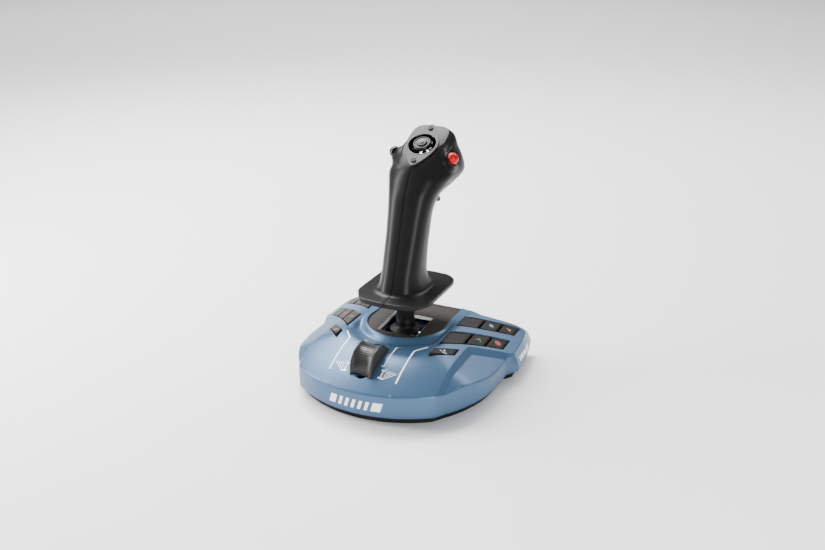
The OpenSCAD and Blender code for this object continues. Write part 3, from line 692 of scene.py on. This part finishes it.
# ---------- throttle ----------
def throttle_drum():
    """A saddle-shaped drum cut off along the track that it slides on."""
    yc, zc = -72.7, 40.8
    pivot, limit = np.array([-38.0, -52.0]), 103.75
    edge = [8.0, 8.5, 8.9, 9.4, 9.9, 10.3, 10.5, 10.5]
    xs = [-x for x in edge[::-1]] + list(np.linspace(-7.4, 7.4, 15)) + edge

    def radius(x):
        a = abs(x)
        if a > 8.8:
            return 18.0 - 0.8 * max(0.0, a - 9.6) ** 2
        return 16.3 + 1.5 * (a / 8.8) ** 3
    rows = []
    n = 284
    for k in range(n + 1):
        a = math.radians(-52 + 284 * k / n)
        rib = 0.0 if k % 8 < 5 else 0.38
        line = []
        for j, x in enumerate(xs):
            r = radius(x) - (rib if abs(x) < 7.6 else 0.0)
            p = np.array([yc + r * math.cos(a), zc + r * math.sin(a)])
            d = p - pivot
            if np.hypot(*d) < limit or j in (0, len(xs) - 1):
                p = pivot + d * limit / np.hypot(*d)
            line.append((x, p[0], p[1]))
        rows.append(line)
    verts = [p for r in rows for p in r]
    faces = grid(n + 1, len(xs))
    return verts, faces


verts, faces = throttle_drum()
piece("throttle_saddle", verts, faces, DRUM, "throttle", ["throttle_cap"], sharp=50, weld=0.01)


# ---------- grip ----------
# front Y, Z; rear Y, Z; half width; place of the widest point; front and rear fullness
STATIONS = [
    (-44.3, 81.6, 43.3, 81.6, 35.0, 0.50, 3.3, 4.6), (-45.2, 82.0, 44.2, 82.0, 35.9, 0.50, 3.3, 4.6),
    (-45.5, 82.8, 44.5, 82.8, 36.2, 0.50, 3.3, 4.6), (-45.5, 85.6, 44.5, 85.2, 36.2, 0.50, 3.3, 4.6),
    (-45.3, 86.0, 44.3, 85.6, 36.0, 0.50, 3.3, 4.6), (-44.9, 86.2, 43.9, 85.8, 35.6, 0.50, 3.3, 4.6),
    (-38.0, 86.7, 35.8, 86.2, 29.0, 0.50, 3.0, 3.9), (-32.4, 87.2, 28.8, 86.7, 24.2, 0.50, 2.7, 3.1),
    (-29.8, 88.6, 26.0, 88.1, 22.0, 0.50, 2.5, 2.7), (-28.3, 91.6, 24.3, 91.2, 20.7, 0.50, 2.45, 2.5),
    (-25.2, 100.0, 20.8, 100.0, 18.9, 0.50, 2.5, 2.5), (-19.0, 118.0, 21.8, 120.5, 18.5, 0.50, 2.5, 2.5),
    (-12.5, 137.0, 25.8, 139.5, 18.8, 0.50, 2.5, 2.5), (-6.9, 155.4, 31.0, 158.5, 20.0, 0.50, 2.4, 2.5),
    (-2.0, 170.5, 44.0, 168.0, 22.6, 0.46, 2.3, 2.5), (3.5, 180.0, 66.5, 172.5, 26.6, 0.42, 2.3, 3.2),
    (7.5, 186.5, 82.0, 181.5, 29.8, 0.43, 2.2, 4.5), (10.0, 190.5, 82.0, 192.0, 28.2, 0.44, 2.1, 4.2),
    (11.8, 193.0, 76.0, 205.0, 24.4, 0.47, 2.0, 4.4), (13.2, 194.6, 71.5, 215.4, 21.6, 0.50, 1.9, 4.8),
    (14.6, 195.9, 64.5, 221.2, 18.2, 0.52, 1.8, 4.2)]


def smooth_stations(stations, per=7):
    """The stations with in-between ones on a curve through them.

    The last column says how far each follows the rest's plan."""
    p = np.array([(*s, 1.0 if k < 6 else 0.55 if k == 6 else 0.0) for k, s in enumerate(stations)], float)
    d = np.sqrt(((p[1:, :5] - p[:-1, :5]) ** 2).sum(1)) ** 0.5
    t = np.concatenate([[0], np.cumsum(d)])
    slope = np.zeros_like(p)
    s = (p[1:] - p[:-1]) / (t[1:] - t[:-1])[:, None]
    w0, w1 = (t[2:] - t[1:-1])[:, None], (t[1:-1] - t[:-2])[:, None]
    slope[1:-1] = (s[:-1] * w0 + s[1:] * w1) / (w0 + w1)
    slope[0], slope[-1] = s[0], s[-1]
    slope[1:-1] = np.where(s[:-1] * s[1:] < 0, 0, slope[1:-1])
    out = []
    for i in range(len(p) - 1):
        h = t[i + 1] - t[i]
        for u in np.linspace(0, 1, per, endpoint=False):
            a, b = 2 * u ** 3 - 3 * u ** 2 + 1, u ** 3 - 2 * u ** 2 + u
            out.append(a * p[i] + b * h * slope[i] + (1 - a) * p[i + 1]
                       + (u ** 3 - u ** 2) * h * slope[i + 1])
    out.append(p[-1])
    return np.array(out)


HAT_C, HAT_TILT = np.array([0, 37.7, 208.3]), 29.0
HAT_R = turn("X", HAT_TILT)
THUMB_C = np.array([27.6, 39.7, 198.6])
THUMB_R = turn("X", 12) @ turn("Y", 58)
THUMB_AXIS = THUMB_R @ np.array([0, 0, 1.0])


def bend(v, p):
    return math.copysign(abs(v) ** (2 / p), v)


REST = np.array([(0, -45.5), (10, -45.0), (19, -43.6), (25.2, -41.6), (28.0, -39.2), (31.0, -33.6),
                 (34.6, -27.4), (35.8, -24.0), (36.2, -19.0), (36.2, 22.0), (36.0, 28.0), (35.0, 32.6),
                 (32.6, 36.6), (28.6, 40.4), (23.4, 43.0), (15.0, 44.2), (0, 44.5)])


def rest_point(angle):
    """Where a ray from the middle of the hand rest meets its plan outline.

    The angle runs from -90 in front to 90 behind."""
    a = np.degrees(np.arctan2(REST[:, 1] + 0.5, REST[:, 0]))
    k = int(np.clip(np.searchsorted(a, angle) - 1, 0, len(a) - 2))
    p, q = REST[k] + (0, 0.5), REST[k + 1] + (0, 0.5)
    d = np.array([math.cos(math.radians(angle)), math.sin(math.radians(angle))])
    e = q - p
    t = (p[0] * e[1] - p[1] * e[0]) / (d[0] * e[1] - d[1] * e[0])
    return d * t


def half_ring(s, n=56):
    """Right half of one station: from the front seam round to the rear seam."""
    f, b = np.array(s[0:2]), np.array(s[2:4])
    c = f + s[5] * (b - f)
    out = []
    for k in range(n + 1):
        a = math.radians(-90 + 180 * k / n)
        q = s[6] if a < 0 else s[7]
        t = abs(math.sin(a)) ** (2 / q)
        yz = c + (f - c) * t if a < 0 else c + (b - c) * t
        p = np.array((s[4] * bend(max(math.cos(a), 0), q), yz[0], yz[1]))
        if s[8] > 0.01:
            w = min(s[8], 1.0)
            m = rest_point(math.degrees(math.atan2(p[1] + 0.5, p[0])))
            y = m[1] * (c[0] - f[0]) / 45 if m[1] < 0 else m[1] * (b[0] - c[0]) / 45
            tilt = (b[1] - f[1]) * (c[0] + y - f[0]) / (b[0] - f[0])
            r = np.array((m[0] * s[4] / 36.2, c[0] + y, f[1] + tilt))
            p = p + (r - p) * w
        out.append(p)
    return np.array(out)


def shape_head(p):
    """Draws the thumb button's seat out of the head."""
    d = p - THUMB_C
    along = d @ THUMB_AXIS
    off = np.sqrt(np.maximum((d ** 2).sum(1) - along ** 2, 0))
    near = (along > -16) & (along < 9)
    pull = 1 - step((off - 7.0) / 5.5)
    bore = 4.6 * (1 - step((off - 6.6) / 0.9))
    return p + np.where(near, (-1.0 - along) * pull * 0.96 - bore, 0)[:, None] * THUMB_AXIS


def grip_half(side):
    rows = []
    rings = smooth_stations(STATIONS)
    for s in rings:
        r = shape_head(half_ring(s))
        seam = np.clip(1 - r[:, 0] / 0.4, 0, 1) * 0.12
        c = np.array([0, s[0] * 0.5 + s[2] * 0.5, s[1] * 0.5 + s[3] * 0.5])
        back = c - r
        back[:, 0] = 0
        back /= np.linalg.norm(back, axis=1)[:, None] + 1e-9
        r = r + back * seam[:, None]
        r[:, 0] = np.maximum(r[:, 0], 0) + 0.34 * np.clip(1 - r[:, 0] / 3, 0, 1)
        first, last = r[0] + back[0] * 2.2, r[-1] + back[-1] * 2.2
        first[0] = last[0] = 0  # the halves meet at the bottom of the seam
        rows.append(np.concatenate([[first], r, [last]]))
    n = len(rows[0])
    # crown: in to the hat's bore and down it
    for radius, h in ((13.6, -0.3), (13.6, -4.0)):
        line = []
        for k in range(n):
            a = math.radians(-90 + 180 * min(max(k - 1, 0), n - 3) / (n - 3))
            line.append(HAT_C + HAT_R @ np.array([max(radius * math.cos(a), 0.34), radius * math.sin(a), h]))
        rows.append(np.array(line))
    # underside of the hand rest
    under = []
    for k in (0.7, 0.4):
        r = rows[0].copy()
        r[:, 0] = np.maximum(r[:, 0] * k, 0.34)
        r[:, 1] = r[:, 1] * k
        r[:, 2] = 81.5
        under.append(r)
    rows = under[::-1] + rows
    verts = np.concatenate(rows)
    faces = grid(len(rows), n)
    verts[:, 0] *= side
    return verts, faces


def trigger_lever():
    """A bent lever that widens toward its tip."""
    outline = [(46, 178), (46.4, 180.5), (48, 186.3), (53, 186.3), (53.5, 178.5), (52.8, 172), (52.0, 165),
               (53.4, 159.5), (57.0, 154.8), (56.4, 152.9), (54.6, 152.3), (50, 154), (46.6, 159),
               (45, 166), (45.2, 172)]
    bore = [(50 + 1.7 * math.sin(a), 178 + 1.7 * math.cos(a)) for a in np.linspace(0, -2 * math.pi, 25)]
    rows = []
    for t in (-1.0, -0.92, 0.92, 1.0):
        inset = 0.5 if abs(t) > 0.95 else 0.0
        c = np.mean(outline, axis=0)
        line = []
        for y, z in outline:
            half = 8.0 + 2.0 * step((168 - z) / 14)
            q = np.array([y, z]) - inset * (np.array([y, z]) - c) / np.linalg.norm(np.array([y, z]) - c)
            line.append((half * t, q[0], q[1]))
        line[3:3] = [(8.0 * t, 50, 186.3)] + [(8.0 * t, y, z) for y, z in bore] + [(8.0 * t, 50, 186.3)]
        rows.append(line)
    n = len(rows[0])
    verts = [p for r in rows for p in r]
    faces = [(j * n + i, j * n + (i + 1) % n, (j + 1) * n + (i + 1) % n, (j + 1) * n + i)
             for j in range(len(rows) - 1) for i in range(n)]
    faces += [tuple(range(n))[::-1], tuple(range((len(rows) - 1) * n, len(rows) * n))]
    return verts, faces


verts, faces = trigger_lever()
piece("trigger_lever", verts, faces, GRIP, "trigger", ["trigger"], sharp=40)

for side, word in ((1, "right"), (-1, "left")):
    verts, faces = grip_half(side)
    piece(f"grip_{word}_skin", verts, faces, GRIP, "grip", [f"grip_{word}_shell"], sharp=50)


# ---------- hat, thumb buttons ----------
def placed(pts, rot, origin):
    return (np.asarray(pts, float) @ rot.T) + origin


def on_hat(name, profile, mat, body, replaces=(), n=96, sharp=35):
    pts, faces = lathe(profile, n)
    return piece(name, placed(pts, HAT_R, HAT_C), faces, mat, body, replaces, sharp)


on_hat("hat_dish", rounded([(13.6, 1.6), (13.5, 2.3), (12.7, 2.1), (12.2, 0.8)], 0.5)
       + [(12.0 * math.cos(a), 0.6 - 7.6 * math.sin(a)) for a in np.linspace(0.12, 1.12, 12)] + [(5.2, -7.1)],
       GLOSS, "grip", ["hat_bowl"])
on_hat("hat_knob", [(0, 4.9), (1.8, 4.75)]
       + rounded([(2.9, 4.5), (4.2, 4.6), (4.7, 3.7), (6.5, 3.5), (7.0, 4.1), (8.0, 3.9), (8.8, 2.4),
                  (8.5, 1.0), (6.2, -0.4), (4.2, -1.6), (3.0, -3.4), (1.5, -5.0), (1.5, -6.9)], 0.5, 5)
       + [(0, -6.9)],
       KNOB, "hat_cap", ["hat_cap"])


def thumb(name, side, mat, body):
    dome = [(5.5 * math.cos(a), 1.0 + 5.3 * math.sin(a)) for a in np.linspace(math.pi / 2, 0, 18)]
    dome[0] = (0, 6.3)
    pts, faces = lathe(dome + [(5.5, -1.6), (5.2, -2.0), (0, -2.0)], 72)
    verts = placed(pts, THUMB_R, THUMB_C)
    verts[:, 0] *= side
    piece(name, verts, faces, mat, body, [body], sharp=45)
    pts, faces = lathe(rounded([(5.7, -3.2), (5.7, 0.1), (6.3, 0.45), (7.2, 0.1), (7.8, -1.6),
                                (7.8, -3.4)], 0.35, 4), 72)
    verts = placed(pts, THUMB_R, THUMB_C)
    verts[:, 0] *= side
    piece(name + "_seat", verts, faces, BLACK, "grip", sharp=45)


thumb("red_dome", 1, RED, "red_button")
thumb("black_dome", -1, GLOSS, "black_button")


# ---------- stick shaft ----------
pts, faces = lathe([(13.2, 42.7)]
                   + rounded([(14.5, 42.7), (14.5, 44.0), (9.7, 46.6), (8.8, 48.4), (8.72, 54.0)], 0.6, 5)
                   + [(8.55, 54.3)], 96)
piece("stick_flare", pts, faces, BLACK, "shaft", ["dust_skirt"])


# ---------- CAD pieces shown as they are ----------
def dress(names, mat, bevel=0.0):
    for name in names:
        o = NODES[name]
        o.data.materials.clear()
        o.data.materials.append(mat)
        if bevel:
            mod = o.modifiers.new("soft edges", "BEVEL")
            mod.width = bevel / 1000
            mod.segments = 3
            mod.limit_method = "ANGLE"
            mod.angle_limit = math.radians(35)
            mod.harden_normals = False


dress(["base_bottom_shell"], BLACK, 0.0)
dress(["rubber_feet"], RUBBER)
dress(["base_screws", "housing_screws", "pitch_pins", "roll_pin", "centring_spring", "shaft_magnet",
       "twist_collar", "grip_screws", "hat_ring", "trigger_pin", "ballast_plates", "usb_c_socket"], STEEL)
dress(["main_board", "sensor_board", "key_boards", "grip_board"], BOARD)
dress(["key_switches", "twist_bushing", "centring_cup"], PALE)
dress(["gimbal_housing", "throttle_track"], NYLON)
dress(["gimbal_ring"], ALLOY)
dress(["stick_shaft"], GRIP)
dress(["hat_plate"], HAT, 0.35)
dress(["hat_plate_screws", "throttle_carriage", "trigger_switch"], BLACK)
for name in ("stick_shaft", "roll_pin", "pitch_pins", "hat_plate_screws", "rubber_feet", "base_bottom_shell"):
    NODES[name].data.shade_smooth()
    NODES[name].data.set_sharp_from_angle(angle=math.radians(32))


# ---------- floor, light and camera ----------
bpy.ops.mesh.primitive_plane_add(size=12, location=(0, 0, -0.0002))
floor = bpy.context.active_object
floor.name = "floor"
pale = bpy.data.materials.new("pale_floor")
pale.use_nodes = True
pale.node_tree.nodes["Principled BSDF"].inputs["Base Color"].default_value = (0.90, 0.90, 0.90, 1)
pale.node_tree.nodes["Principled BSDF"].inputs["Roughness"].default_value = 0.9
floor.data.materials.append(pale)


def softbox(name, position, target, size, power, tint=(1, 1, 1)):
    data = bpy.data.lights.new(name, "AREA")
    data.shape = "RECTANGLE"
    data.size, data.size_y = size
    data.energy = power
    data.color = tint
    o = bpy.data.objects.new(name, data)
    o.location = position
    o.rotation_mode = "QUATERNION"
    o.rotation_quaternion = (Vector(target) - Vector(position)).to_track_quat("-Z", "Y")
    bpy.context.scene.collection.objects.link(o)


softbox("left_soft", (-0.80, -0.30, 0.40), (0, 0, 0.12), (0.20, 0.8), 15)
softbox("right_soft", (0.70, -0.62, 0.32), (0, 0, 0.12), (0.14, 0.7), 8)
softbox("top_soft", (-0.82, 0.42, 1.15), (0, 0, 0.0), (0.9, 0.9), 44)
softbox("far_soft", (-1.3, 2.2, 3.8), (-1.2, 2.7, 0), (1.6, 1.6), 230)
softbox("back_soft", (0.45, 1.25, 1.25), (0, 0, 0.05), (1.1, 0.5), 14)

world = bpy.data.worlds.new("studio")
world.use_nodes = True
world.node_tree.nodes["Background"].inputs["Color"].default_value = (1, 1, 1, 1)
world.node_tree.nodes["Background"].inputs["Strength"].default_value = 0.22
bpy.context.scene.world = world

cam_data = bpy.data.cameras.new("camera")
cam = bpy.data.objects.new("camera", cam_data)
bpy.context.scene.collection.objects.link(cam)
cam_data.lens, cam_data.sensor_width = 38.97, 36
cam.location = (0.3213, -0.6705, 0.4058)
cam.rotation_mode = "QUATERNION"
cam.rotation_quaternion = (Vector((0, 0.0268, 0.0907)) - cam.location).to_track_quat("-Z", "Y")
bpy.context.scene.camera = cam
